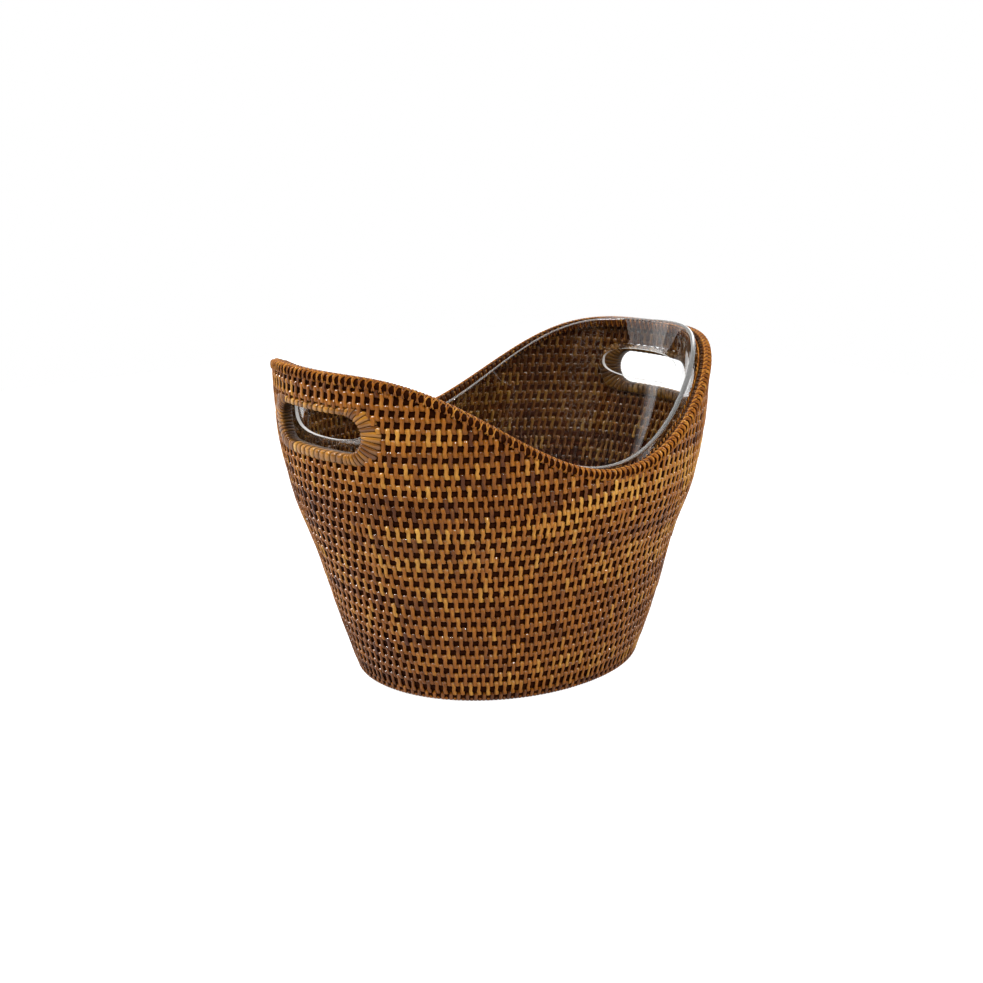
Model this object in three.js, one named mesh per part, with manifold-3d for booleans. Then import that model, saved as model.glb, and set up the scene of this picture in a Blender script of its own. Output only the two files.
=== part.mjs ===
// Woven wine bucket with a loose clear liner.
// Millimetres, +Z up. The origin is the centre of the plane that the bucket stands on.
// The two handle ends are at -X and +X, and the rim dips in the middle of the two long sides.
import * as THREE from "three";
import { mergeVertices } from "three/addons/utils/BufferGeometryUtils.js";
import Module from "manifold-3d";

const wasm = await Module();
wasm.setup();

// Rim heights: in the middle of the long sides, and at the two handle ends.
const DIP_HEIGHT = 155;
const END_HEIGHT = 222;
const CLEARANCE = 0.3;

// The outside of the wicker at six evenly spaced heights, from the foot to the end's rim.
const FOOT_HALF_LENGTH = 105.5;
const LOW_HALF_LENGTH = 120.5;
const WAIST_HALF_LENGTH = 134.5;
const CHEST_HALF_LENGTH = 150;
const SHOULDER_HALF_LENGTH = 159.5;
const RIM_HALF_LENGTH = 161.5;
const FOOT_HALF_WIDTH = 89;
const LOW_HALF_WIDTH = 100.5;
const WAIST_HALF_WIDTH = 108;
const CHEST_HALF_WIDTH = 119.5;
const SHOULDER_HALF_WIDTH = 121;
const RIM_HALF_WIDTH = 121;
// The plan is nearly an ellipse at the foot and a little squarer at the top.
const FOOT_PLAN_EXPONENT = 2.05;
const RIM_PLAN_EXPONENT = 2.2;

// Wall of woven rows.
const WALL = 6.5;
const ROW_BULGE = 0.8;
const ROW_NOMINAL = 7;
const ROW_STEPS = 32;

// Foot.
const FOOT_HEIGHT = 6;
const FOOT_WIDTH = 7.5;
const SOLE_INSET = 2.2;
const HOOP_BULGE = 0.5;
const FLOOR_THICK = 4;
const FLOOR_DROP = 0.4;

// Rim.
const RIM_HEIGHT = 7;
const RIM_OVERHANG = 0.9;
const RIM_SKIN = 1.5;
const RIM_CAP = 2.2;
const RIM_ROUND = 1.7;
const RIM_SHOULDER = 2;
const CORE_CHAMFER = 1.1;
const RIM_STEPS = 64;
const LEDGE_THICK = 1.7;
const LEDGE_HEIGHT = 6;
const LEDGE_DROP = 1;

// Raised ends.
const PANEL_LIFTS = 5;
const PANEL_LEAST = 1.5;
const HOLE_MARGIN = 6;

// Handle holes: a slot with round ends, and the wound border round it.
const SLOT_BELOW_END = 37;
const SLOT_STRAIGHT = 27;
const SLOT_RADIUS = 13;
const BAND_WIDTH = 7.6;
const BAND_THICK = 7;
const BAND_CHAMFER = 1.3;
const BAND_STEPS = 36;
const WRAP_WIDTH = 2.7;
const WRAP_THICK = 1.2;
const WRAP_GAP = 0.4;
const WRAP_LOOPS = 24;

// Clear liner.
const LINER_GAP = 4;
const LINER_WALL = 3.5;
const LINER_FLOOR = 4;
const LINER_ROUND = 3;
const LINER_ABOVE_END = 2;
const LINER_ABOVE_DIP = 0.2;
const LINER_STEPS = 48;
const CUT_ABOVE_SLOT = 6;
const CUT_STRAIGHT = 23;
const CUT_RADIUS = 13;

const halfLengths = [
  FOOT_HALF_LENGTH,
  LOW_HALF_LENGTH,
  WAIST_HALF_LENGTH,
  CHEST_HALF_LENGTH,
  SHOULDER_HALF_LENGTH,
  RIM_HALF_LENGTH,
];
const halfWidths = [
  FOOT_HALF_WIDTH,
  LOW_HALF_WIDTH,
  WAIST_HALF_WIDTH,
  CHEST_HALF_WIDTH,
  SHOULDER_HALF_WIDTH,
  RIM_HALF_WIDTH,
];
const levelStep = END_HEIGHT / (halfLengths.length - 1);

// A smooth rising curve through the sizes at the six heights.
function sizeAt(sizes, z) {
  const last = sizes.length - 1;
  const height = Math.min(Math.max(z, 0), END_HEIGHT);
  const i = Math.min(Math.floor(height / levelStep), last - 1);
  const slope = (k) => (sizes[k + 1] - sizes[k]) / levelStep;
  const tangent = (k) => {
    if (k === 0) return slope(0);
    if (k === last) return slope(last - 1);
    const before = slope(k - 1);
    const after = slope(k);
    return before * after > 0 ? (2 * before * after) / (before + after) : 0;
  };
  const t = height / levelStep - i;
  const rise = t * t * (3 - 2 * t);
  const leave = t * (1 - t) * (1 - t) * levelStep * tangent(i);
  const arrive = t * t * (t - 1) * levelStep * tangent(i + 1);
  return sizes[i] + (sizes[i + 1] - sizes[i]) * rise + leave + arrive;
}

function planExponent(z) {
  const share = Math.min(Math.max(z / END_HEIGHT, 0), 1);
  return FOOT_PLAN_EXPONENT + (RIM_PLAN_EXPONENT - FOOT_PLAN_EXPONENT) * share;
}

// A point of the wall at angle u and height z, inset millimetres in from the outside.
function wallPoint(u, z, inset) {
  const n = planExponent(z);
  const c = Math.cos(u);
  const s = Math.sin(u);
  const a = sizeAt(halfLengths, z) - inset;
  const b = sizeAt(halfWidths, z) - inset;
  const x = a * Math.sign(c) * Math.pow(Math.abs(c), 2 / n);
  const y = b * Math.sign(s) * Math.pow(Math.abs(s), 2 / n);
  return [x, y, z];
}

// A point of an end wall that lies at a given y and z.
function endPoint(side, y, z, inset) {
  const n = planExponent(z);
  const a = sizeAt(halfLengths, z) - inset;
  const b = sizeAt(halfWidths, z) - inset;
  const x = a * Math.pow(1 - Math.pow(Math.abs(y) / b, n), 1 / n);
  return [side * x, y, z];
}

// How far the rim has risen at angle u: 0 in the middle of the sides, 1 at the ends.
function rimShare(u) {
  return 1 - Math.pow(Math.sin(u), 4);
}

// The height of the rim's top at angle u.
function rimHeight(u) {
  return DIP_HEIGHT + (END_HEIGHT - DIP_HEIGHT) * rimShare(u);
}

// Triangles turned so that the closed surface faces out.
function facingOut(points, triangles) {
  const a = new THREE.Vector3();
  const b = new THREE.Vector3();
  const c = new THREE.Vector3();
  let volume = 0;
  for (const [i, j, k] of triangles) {
    a.fromArray(points[i]);
    b.fromArray(points[j]);
    c.fromArray(points[k]);
    volume += a.dot(b.cross(c));
  }
  return volume < 0 ? triangles.map(([i, j, k]) => [i, k, j]) : triangles;
}

function geometryOf(points, triangles) {
  const geometry = new THREE.BufferGeometry();
  geometry.setAttribute("position", new THREE.Float32BufferAttribute(points.flat(), 3));
  geometry.setIndex(facingOut(points, triangles).flat());
  geometry.computeVertexNormals();
  return geometry;
}

// A tube through loops of points, either closed on itself or with flat ends.
// A flat end pairs the first half of its loop with the second half.
function tube(loops, closed) {
  const size = loops[0].length;
  const points = loops.flat();
  const triangles = [];
  const count = closed ? loops.length : loops.length - 1;
  for (let i = 0; i < count; i += 1) {
    const here = i * size;
    const next = ((i + 1) % loops.length) * size;
    for (let j = 0; j < size; j += 1) {
      const k = (j + 1) % size;
      triangles.push([here + j, next + j, next + k]);
      triangles.push([here + j, next + k, here + k]);
    }
  }
  if (!closed) {
    const end = (loops.length - 1) * size;
    for (let j = 0; j < size / 2 - 1; j += 1) {
      const across = size - 1 - j;
      triangles.push([j, j + 1, across - 1]);
      triangles.push([j, across - 1, across]);
      triangles.push([end + j, end + across - 1, end + j + 1]);
      triangles.push([end + j, end + across, end + across - 1]);
    }
  }
  return geometryOf(points, triangles);
}

// A closed surface through rings, with a flat fan on the first ring and on the last.
function cappedRings(rings, firstCentre, lastCentre) {
  const size = rings[0].length;
  const points = rings.flat();
  const triangles = [];
  for (let i = 0; i < rings.length - 1; i += 1) {
    for (let j = 0; j < size; j += 1) {
      const k = (j + 1) % size;
      triangles.push([i * size + j, (i + 1) * size + j, (i + 1) * size + k]);
      triangles.push([i * size + j, (i + 1) * size + k, i * size + k]);
    }
  }
  const first = points.push(firstCentre) - 1;
  const last = points.push(lastCentre) - 1;
  const end = (rings.length - 1) * size;
  for (let j = 0; j < size; j += 1) {
    const k = (j + 1) % size;
    triangles.push([first, j, k]);
    triangles.push([last, end + k, end + j]);
  }
  return geometryOf(points, triangles);
}

function angles(steps) {
  return Array.from({ length: steps }, (_, i) => (2 * Math.PI * i) / steps);
}

function solidOf(geometry) {
  const plain = geometry.clone();
  plain.deleteAttribute("normal");
  plain.deleteAttribute("uv");
  const merged = mergeVertices(plain, 1e-4);
  return new wasm.Manifold(
    new wasm.Mesh({
      numProp: 3,
      vertProperties: new Float32Array(merged.attributes.position.array),
      triVerts: new Uint32Array(merged.index.array),
    }),
  );
}

function geometryFrom(solid) {
  const mesh = solid.getMesh();
  const geometry = new THREE.BufferGeometry();
  const places = new THREE.BufferAttribute(new Float32Array(mesh.vertProperties), 3);
  geometry.setAttribute("position", places);
  geometry.setIndex(new THREE.BufferAttribute(new Uint32Array(mesh.triVerts), 1));
  geometry.computeVertexNormals();
  return geometry;
}

// A bar with round ends that runs along X, used to cut the handle holes.
function slotBar(straight, radius, height, fromX, toX) {
  const shape = new THREE.Shape();
  shape.moveTo(-straight, -radius);
  shape.lineTo(straight, -radius);
  shape.absarc(straight, 0, radius, -Math.PI / 2, Math.PI / 2, false);
  shape.lineTo(-straight, radius);
  shape.absarc(-straight, 0, radius, Math.PI / 2, 1.5 * Math.PI, false);
  const options = { depth: toX - fromX, bevelEnabled: false, curveSegments: 12 };
  const bar = new THREE.ExtrudeGeometry(shape, options);
  const along = new THREE.Vector3(1, 0, 0);
  const across = new THREE.Vector3(0, 1, 0);
  const up = new THREE.Vector3(0, 0, 1);
  bar.applyMatrix4(new THREE.Matrix4().makeBasis(across, up, along));
  bar.translate(fromX, 0, height);
  return bar;
}

const group = new THREE.Group();
group.name = "wine_bucket";

function addMesh(name, geometry, colour, roughness) {
  const look = { color: colour, roughness, metalness: 0 };
  const mesh = new THREE.Mesh(geometry, new THREE.MeshStandardMaterial(look));
  mesh.name = name;
  group.add(mesh);
  return mesh;
}

const HONEY = 0xb9873f;
const AMBER = 0xa8742f;
const BROWN = 0x7d4f22;

// Foot hoop with a flat underside, and the woven floor inside it.
const hoopSection = [
  [SOLE_INSET, 0],
  [FOOT_WIDTH, 0],
  [FOOT_WIDTH, FOOT_HEIGHT],
  [HOOP_BULGE, FOOT_HEIGHT],
  [0, FOOT_HEIGHT * 0.6],
  [HOOP_BULGE, FOOT_HEIGHT * 0.2],
];
const hoopLoops = angles(ROW_STEPS).map((u) => hoopSection.map(([inset, z]) => wallPoint(u, z, inset)));
addMesh("base_hoop", tube(hoopLoops, true), BROWN, 0.5);

const floorInset = FOOT_WIDTH + CLEARANCE;
const floorHigh = FOOT_HEIGHT - FLOOR_DROP;
const floorLow = floorHigh - FLOOR_THICK;
const floorRings = [floorLow, floorHigh].map((z) =>
  angles(ROW_STEPS).map((u) => {
    const [x, y] = wallPoint(u, 0, floorInset);
    return [x, y, z];
  }),
);
addMesh("base_floor", cappedRings(floorRings, [0, 0, floorLow], [0, 0, floorHigh]), BROWN, 0.6);

// Where the handle holes are, and how far the wound border reaches round them.
const slotHeight = END_HEIGHT - SLOT_BELOW_END;
const bandRadius = SLOT_RADIUS + WRAP_THICK + WRAP_GAP + BAND_WIDTH / 2;
const panelHole = SLOT_RADIUS + BAND_WIDTH + 2 * (WRAP_THICK + WRAP_GAP) + WRAP_GAP;
const endReach = sizeAt(halfLengths, slotHeight);

// Full rows of weaving, from the foot hoop up to the rim's lowest place or the holes' borders.
const rowsFrom = FOOT_HEIGHT + CLEARANCE;
const underRim = DIP_HEIGHT - RIM_HEIGHT - CLEARANCE;
const rowsTo = Math.min(underRim, slotHeight - panelHole - HOLE_MARGIN);
const rowCount = Math.floor((rowsTo - rowsFrom) / ROW_NOMINAL);
const rowPitch = (rowsTo - rowsFrom) / rowCount;
for (let row = 0; row < rowCount; row += 1) {
  const low = rowsFrom + row * rowPitch;
  const high = low + rowPitch - CLEARANCE;
  const middle = (low + high) / 2;
  const section = [
    [ROW_BULGE, low],
    [0, middle],
    [ROW_BULGE, high],
    [WALL - ROW_BULGE, high],
    [WALL, middle],
    [WALL - ROW_BULGE, low],
  ];
  const loops = angles(ROW_STEPS).map((u) => section.map(([inset, z]) => wallPoint(u, z, inset)));
  const name = "wall_row_" + String(row + 1).padStart(2, "0");
  addMesh(name, tube(loops, true), row % 2 ? AMBER : HONEY, 0.45);
}

// Rim: a core hoop, the braid that caps it, and the plain ledge inside.
const inner = WALL + RIM_OVERHANG;
const braidSection = [
  [-RIM_OVERHANG, -RIM_HEIGHT],
  [-RIM_OVERHANG, -RIM_SHOULDER],
  [RIM_ROUND - RIM_OVERHANG, 0],
  [inner - RIM_ROUND, 0],
  [inner, -RIM_SHOULDER],
  [inner, -RIM_HEIGHT],
  [inner - RIM_SKIN, -RIM_HEIGHT],
  [inner - RIM_SKIN, -RIM_CAP],
  [RIM_SKIN - RIM_OVERHANG, -RIM_CAP],
  [RIM_SKIN - RIM_OVERHANG, -RIM_HEIGHT],
];
const coreOuter = RIM_SKIN - RIM_OVERHANG + CLEARANCE;
const coreInner = inner - RIM_SKIN - CLEARANCE;
const coreTop = -RIM_CAP - CLEARANCE;
const coreLow = CLEARANCE - RIM_HEIGHT;
const coreSection = [
  [coreOuter, coreLow + CORE_CHAMFER],
  [coreOuter, coreTop - CORE_CHAMFER],
  [coreOuter + CORE_CHAMFER, coreTop],
  [coreInner - CORE_CHAMFER, coreTop],
  [coreInner, coreTop - CORE_CHAMFER],
  [coreInner, coreLow + CORE_CHAMFER],
  [coreInner - CORE_CHAMFER, coreLow],
  [coreOuter + CORE_CHAMFER, coreLow],
];
const ledgeOuter = inner + CLEARANCE;
const ledgeSection = [
  [ledgeOuter, -LEDGE_DROP - LEDGE_HEIGHT],
  [ledgeOuter, -LEDGE_DROP],
  [ledgeOuter + LEDGE_THICK, -LEDGE_DROP],
  [ledgeOuter + LEDGE_THICK, -LEDGE_DROP - LEDGE_HEIGHT],
];
function rimLoops(section) {
  return angles(RIM_STEPS).map((u) =>
    section.map(([inset, drop]) => {
      const [x, y] = wallPoint(u, rimHeight(u) - RIM_HEIGHT / 2, inset);
      return [x, y, rimHeight(u) + drop];
    }),
  );
}
addMesh("rim_braid", tube(rimLoops(braidSection), true), HONEY, 0.45);
addMesh("rim_core", tube(rimLoops(coreSection), true), BROWN, 0.6);
addMesh("rim_ledge", tube(rimLoops(ledgeSection), true), AMBER, 0.5);

// Raised woven ends above the last full row, each with a hole for the wound border.
// Where the last full row lies below the rim's dip, the panels reach on to the middle of the sides.
const panelTop = (u) => rimHeight(u) - RIM_HEIGHT - CLEARANCE;
const middleTurn = Math.PI / 2 - CLEARANCE / FOOT_HALF_LENGTH;
const panelTurns = [middleTurn];
for (let i = RIM_STEPS / 4 - 1; i > -RIM_STEPS / 4; i -= 1) panelTurns.push((2 * Math.PI * i) / RIM_STEPS);
panelTurns.push(-middleTurn);
function raisedEnd(side) {
  const loops = [];
  for (const turn of panelTurns) {
    const u = (side < 0 ? Math.PI : 0) + turn;
    const top = panelTop(u);
    if (top - rowsTo < PANEL_LEAST) continue;
    const outside = [];
    const inside = [];
    for (let j = 0; j <= PANEL_LIFTS; j += 1) {
      const z = rowsTo + ((top - rowsTo) * j) / PANEL_LIFTS;
      outside.push(wallPoint(u, z, 0));
      inside.unshift(wallPoint(u, z, WALL));
    }
    loops.push([...outside, ...inside]);
  }
  const panel = solidOf(tube(loops, false));
  const fromX = side < 0 ? -1.5 * endReach : 0.5 * endReach;
  const bar = slotBar(SLOT_STRAIGHT, panelHole, slotHeight, fromX, fromX + endReach);
  return geometryFrom(panel.subtract(solidOf(bar)));
}

// A place on the slot's border, by its share of the way round and its reach from the slot's middle line.
const borderLength = 4 * SLOT_STRAIGHT + 2 * Math.PI * bandRadius;
function borderPoint(side, share, reach, inset) {
  const arc = Math.PI * bandRadius;
  let way = (((share % 1) + 1) % 1) * borderLength;
  let y = 0;
  let angle = 0;
  if (way < 2 * SLOT_STRAIGHT) {
    y = way - SLOT_STRAIGHT;
    angle = Math.PI / 2;
  } else if (way < 2 * SLOT_STRAIGHT + arc) {
    way -= 2 * SLOT_STRAIGHT;
    y = SLOT_STRAIGHT;
    angle = Math.PI / 2 - way / bandRadius;
  } else if (way < 4 * SLOT_STRAIGHT + arc) {
    way -= 2 * SLOT_STRAIGHT + arc;
    y = SLOT_STRAIGHT - way;
    angle = -Math.PI / 2;
  } else {
    way -= 4 * SLOT_STRAIGHT + arc;
    y = -SLOT_STRAIGHT;
    angle = -Math.PI / 2 - way / bandRadius;
  }
  const z = slotHeight + reach * Math.sin(angle);
  return endPoint(side, y + reach * Math.cos(angle), z, inset);
}

// An eight-sided loop round the middle of the band's section: along the reach, then along the inset.
function octagon(halfWidth, halfThick, chamfer) {
  return [
    [halfWidth, chamfer - halfThick],
    [halfWidth, halfThick - chamfer],
    [halfWidth - chamfer, halfThick],
    [chamfer - halfWidth, halfThick],
    [-halfWidth, halfThick - chamfer],
    [-halfWidth, chamfer - halfThick],
    [chamfer - halfWidth, -halfThick],
    [halfWidth - chamfer, -halfThick],
  ];
}

function handleBand(side) {
  const section = octagon(BAND_WIDTH / 2, BAND_THICK / 2, BAND_CHAMFER);
  const loops = [];
  for (let i = 0; i < BAND_STEPS; i += 1) {
    const share = i / BAND_STEPS;
    loops.push(section.map(([r, t]) => borderPoint(side, share, bandRadius + r, WALL / 2 + t)));
  }
  return tube(loops, true);
}

// One unbroken flat strip wound round the band, as loops of four corners.
function wrapLoops(side) {
  const near = WRAP_GAP;
  const far = WRAP_GAP + WRAP_THICK;
  const grow = (d) => octagon(BAND_WIDTH / 2 + d, BAND_THICK / 2 + d, BAND_CHAMFER + (2 - Math.SQRT2) * d);
  const inside = grow(near);
  const outside = grow(far);
  const half = WRAP_WIDTH / 2 / borderLength;
  const loops = [];
  const steps = 8 * WRAP_LOOPS;
  for (let i = 0; i < steps; i += 1) {
    const share = i / steps;
    const [r0, t0] = inside[i % 8];
    const [r1, t1] = outside[i % 8];
    loops.push([
      borderPoint(side, share - half, bandRadius + r0, WALL / 2 + t0),
      borderPoint(side, share + half, bandRadius + r0, WALL / 2 + t0),
      borderPoint(side, share + half, bandRadius + r1, WALL / 2 + t1),
      borderPoint(side, share - half, bandRadius + r1, WALL / 2 + t1),
    ]);
  }
  return loops;
}

// The least distance between points of the strip that are more than half a turn apart along it.
function leastGap(loops) {
  const spots = [];
  loops.forEach((loop, i) => {
    const next = loops[(i + 1) % loops.length];
    for (const share of [0, 0.25, 0.5, 0.75]) {
      loop.forEach((corner, j) => {
        const spot = corner.map((v, k) => v + (next[j][k] - v) * share);
        spots.push([i, spot]);
      });
    }
  });
  let least = Infinity;
  spots.forEach(([i, p], a) => {
    for (let b = a + 1; b < spots.length; b += 1) {
      const [j, q] = spots[b];
      const apart = Math.min(j - i, loops.length - (j - i));
      if (apart > 4) least = Math.min(least, Math.hypot(p[0] - q[0], p[1] - q[1], p[2] - q[2]));
    }
  });
  return least;
}

for (const [side, word] of [
  [-1, "left"],
  [1, "right"],
]) {
  addMesh("raised_end_" + word, raisedEnd(side), HONEY, 0.45);
  addMesh("handle_band_" + word, handleBand(side), BROWN, 0.6);
  const strip = wrapLoops(side);
  console.log("handle_wrap_" + word + " least gap to itself, mm: " + leastGap(strip).toFixed(2));
  addMesh("handle_wrap_" + word, tube(strip, true), HONEY, 0.4);
}

// Clear liner, standing on the floor a little inside the wicker.
const linerInset = WALL + LINER_GAP;
const linerLow = floorHigh + CLEARANCE;
const lipDip = DIP_HEIGHT + LINER_ABOVE_DIP;
const lipEnd = END_HEIGHT + LINER_ABOVE_END;
const lipHeight = (u) => lipDip + (lipEnd - lipDip) * rimShare(u);
const liftShares = [0, 0.2, 0.4, 0.6, 0.8, 1];
function linerRing(heightOf, inset) {
  return angles(LINER_STEPS).map((u) => wallPoint(u, heightOf(u), inset));
}
const linerRings = [linerRing(() => linerLow, linerInset + LINER_ROUND)];
for (const share of liftShares) {
  const low = linerLow + LINER_ROUND;
  linerRings.push(linerRing((u) => low + (lipHeight(u) - low) * share, linerInset));
}
for (const share of [...liftShares].reverse()) {
  const low = linerLow + LINER_FLOOR + LINER_ROUND;
  linerRings.push(linerRing((u) => low + (lipHeight(u) - low) * share, linerInset + LINER_WALL));
}
const innerFloor = linerLow + LINER_FLOOR;
linerRings.push(linerRing(() => innerFloor, linerInset + LINER_WALL + LINER_ROUND));
const linerBody = cappedRings(linerRings, [0, 0, linerLow], [0, 0, innerFloor]);
const cutHeight = slotHeight + CUT_ABOVE_SLOT;
const cutBar = slotBar(CUT_STRAIGHT, CUT_RADIUS, cutHeight, -1.5 * endReach, 1.5 * endReach);
const liner = addMesh("liner", geometryFrom(solidOf(linerBody).subtract(solidOf(cutBar))), 0xdfe8ec, 0.08);
liner.material.transparent = true;
liner.material.opacity = 0.35;

export default group;
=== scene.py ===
# A wine bucket of woven rattan with a loose clear liner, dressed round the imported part.
# All sizes are in metres. The basket stands on z = 0, with its handles at the two ends of the x axis.
import math

import bpy
import numpy as np
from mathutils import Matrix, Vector


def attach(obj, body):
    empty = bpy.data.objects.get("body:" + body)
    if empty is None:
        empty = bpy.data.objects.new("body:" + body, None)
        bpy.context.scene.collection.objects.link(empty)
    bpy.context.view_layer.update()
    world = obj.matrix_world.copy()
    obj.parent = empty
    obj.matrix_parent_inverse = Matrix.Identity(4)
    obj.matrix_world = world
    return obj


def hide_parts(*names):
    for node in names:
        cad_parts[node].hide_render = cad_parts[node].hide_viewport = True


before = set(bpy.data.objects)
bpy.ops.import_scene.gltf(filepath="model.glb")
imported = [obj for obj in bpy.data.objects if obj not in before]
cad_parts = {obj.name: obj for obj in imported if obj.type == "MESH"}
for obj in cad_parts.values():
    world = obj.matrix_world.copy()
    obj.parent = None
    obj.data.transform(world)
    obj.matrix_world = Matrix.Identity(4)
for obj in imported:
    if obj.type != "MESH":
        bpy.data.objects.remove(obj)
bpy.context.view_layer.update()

TURN = 2 * math.pi
rng = np.random.default_rng(11)

# Outline of the basket: its half sizes at six evenly spaced heights, and how square its plan is.
DIP_HEIGHT = 0.155
END_HEIGHT = 0.222
HALF_LENGTHS = (0.1055, 0.1205, 0.1345, 0.150, 0.1595, 0.1615)
HALF_WIDTHS = (0.089, 0.1005, 0.108, 0.1195, 0.121, 0.121)
FOOT_PLAN_EXPONENT = 2.05
RIM_PLAN_EXPONENT = 2.2
WALL = 0.0065
MIDDLE_HEIGHT = 0.105
TURN_SAMPLES = 4001
ROUND_STEPS = 240

# Rows of weaving. Each pair gives a last row and how many strands stand side by side up to it.
COLUMN_COUNTS = ((12, 232), (16, 256), (31, 284))
EVENED_PER_ROW = 0.3
CROWDED_COLUMNS = 3.0
ROW_COUNT = 20
UPPER_ROWS = 11
ROWS_FROM = 0.0063
ROWS_TO = 0.1477
ROW_PITCH = (ROWS_TO - ROWS_FROM) / ROW_COUNT
WEAVE_MIDDLE = 0.0027

# Floats of flat cane, over one stiff rod and behind the next. Widths and sways count in columns. Rings, and
# where a float flares, count in shares of the way from its middle to its end.
FLOAT_WIDTH = 0.76
FLOAT_THICK = 0.001
FLOAT_SWING = 0.0022
FLOAT_SQUARENESS = 8.0
FLOAT_LONGER = 0.61
FLOAT_REACH = 0.728
FLOAT_RINGS = (0.0, 0.3, 0.52, 0.83, 0.89, 0.945, 1.0)
FLOAT_FLARE = 0.35
FLARE_FROM = 0.3
FLARE_TO = 0.52
FLOAT_SIDES = 6
FLOAT_LEAN = 0.19
FLOAT_LEAST = 0.3
WIDTH_SPREAD = 0.045
LEAN_SPREAD = 0.035
SWAY_SPREAD = 0.05
SWING_SPREAD = 0.00013
SHIFT_SPREAD = 0.00022
FLOAT_GRAIN_RANGE = 9

# Tones of the strands: runs of one tone along a row, how likely each tone is, and the change between floats.
RUN_LEAST = 14
RUN_MOST = 60
RUN_TONES = (0.24, 0.36, 0.46, 0.55, 0.66)
RUN_CHANCES = (0.14, 0.22, 0.28, 0.22, 0.14)
TONE_SPREAD = 0.1

# Rods that the floats pass over.
ROD_HEIGHT = ROW_PITCH
ROD_DEPTH = 0.0024
ROD_SIDES = 8
ROD_SQUARENESS = 0.35
ROD_LEAST_STEPS = 4
CORE_SIDES = 8
COIL_SEAM = 1e-5

# Foot and floor.
FOOT_HEIGHT = 0.006
FOOT_WIDTH = 0.0075
FOOT_CORNER = 0.0013
FOOT_ROD_SIDES = 10
FOOT_ROD_IN = 0.0008
FOOT_ROD_LOW = 0.0005
FOOT_LOOP_TOPS = (0.0072, 0.0036)
FOOT_LOOP_WIDTH = 0.84
FOOT_LOOP_LOW = 0.0006
FOOT_LOOP_DIVE = 0.0022
FOOT_LOOP_DARKER = 0.05
FOOT_LOOP_GRAIN = 0.02
FOOT_GRAIN_STEP = 0.37
FLOOR_LOW = 0.0016
FLOOR_HIGH = 0.0056
FLOOR_MARGIN = 0.0045
FLOOR_PLAY = 0.001
FLOOR_STRIP_WIDTH = 0.0062
FLOOR_STRIP_PITCH = 0.0068
FLOOR_STRIP_THICK = 0.0011
FLOOR_STRIP_STEPS = 64
FLOOR_STRIP_SIDES = 8
FLOOR_STRIP_LEAST = 0.02
FLOOR_SWING = 0.0007
FLOOR_TONES = (0.3, 0.6)
FLOOR_GRAIN_STEP = 0.61

# Rim, the rope on its crown and the ledge inside it.
RIM_HEIGHT = 0.007
RIM_OVERHANG = 0.0009
RIM_TUCK = 0.0052
BAR_TURNS = 210
BAR_STEPS = 12
BAR_SIDES = 6
BAR_WIDTH = 0.0009
BAR_THICK = 0.001
BAR_ROUNDING = 0.6
BAR_STRETCH = 3.0
BAR_LEANS = (0.0008, -0.0012)
BAR_TONES = (0.2, 0.65)
BAR_GRAIN_STEP = 0.31
CORE_PLAY = 0.0002
LEDGE_GAP = 0.0003
LEDGE_THICK = 0.0017
LEDGE_HEIGHT = 0.006
LEDGE_DROP = 0.001
LEDGE_INSET = WALL + RIM_OVERHANG + LEDGE_GAP + LEDGE_THICK / 2
LEDGE_FILLING = 0.0004
ROPE_STEPS = 8
ROPE_SIDES = 6
ROPE_PLY = 0.0011
ROPE_REACH = 0.001
ROPE_LIFT = 0.0004
ROPE_TONES = (0.58, 0.14)
ROPE_GRAIN_STEP = 0.7

# Handle holes, the band round each and the cane wound on it.
SLOT_HEIGHT = 0.185
SLOT_STRAIGHT = 0.027
SLOT_SHIFTS = {-1: -0.003, 1: -0.009}
SLOT_RADIUS = 0.0117
TOP_BAND = 0.0032
LOW_BAND = 0.0058
FAN_BAND = 0.0115
BAND_THICK = 0.0074
BAND_MIDDLE = 0.0044
WRAP_THICK = 0.0009
WRAP_GAP = 0.0002
BAND_EDGE = SLOT_RADIUS + WRAP_THICK + WRAP_GAP
BAND_RADIUS = BAND_EDGE + FAN_BAND / 2
BORDER_WAY = 4 * SLOT_STRAIGHT + TURN * BAND_RADIUS
WRAP_STEPS = 16
WRAP_SIDES = 8
TOP_TURNS = 11
FAN_TURNS = 19
LOW_TURNS = 11
TOP_WRAP = 0.0046
FAN_WRAP = 0.0028
LOW_WRAP = 0.0048
WRAP_CROWN = 0.75
WRAP_EDGE = 0.4
WRAP_ROUNDING = 0.6
WRAP_TONES = (0.22, 0.68)
# Painted shade of the winding: where its front value starts, how far it swings round a turn, and how much the
# fan turns lose on their hole side.
WRAP_FRONT = 0.34
WRAP_FRONT_SWING = 0.5
WRAP_GRAIN_STEP = 0.23
FAN_SHADE = 0.2
FAN_DARKER = 0.26

# Clear liner, its slanting lip and its cut-outs.
LINER_GAP = 0.004
LINER_INSET = WALL + LINER_GAP
LINER_WALL = 0.0035
LINER_THIN = 0.0022
LINER_FLOOR = 0.004
LINER_ROUND = 0.004
LINER_CLEARANCE = 0.0003
LINER_LOW = FLOOR_HIGH + LINER_CLEARANCE
LINER_STEPS = 192
LIP_UNDER_DIP = 0.0002
LIP_OVER_END = 0.0006
LIP_DIP = DIP_HEIGHT - LIP_UNDER_DIP
LIP_END = END_HEIGHT + LIP_OVER_END
LIP_DROP = 0.004
LIP_RISE = 0.0085
LIP_HIGH_SIDE = math.radians(-45)
LIP_SANDED = 0.42
CUT_ABOVE_SLOT = 0.0042
CUT_HEIGHT = SLOT_HEIGHT + CUT_ABOVE_SLOT
CUT_HALF_LENGTH = 0.037
CUT_HALF_HEIGHT = 0.0112
CUT_EXPONENT = 2.6
CUT_SIDES = 64
CUT_REACH = 1.5 * HALF_LENGTHS[-1]
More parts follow.
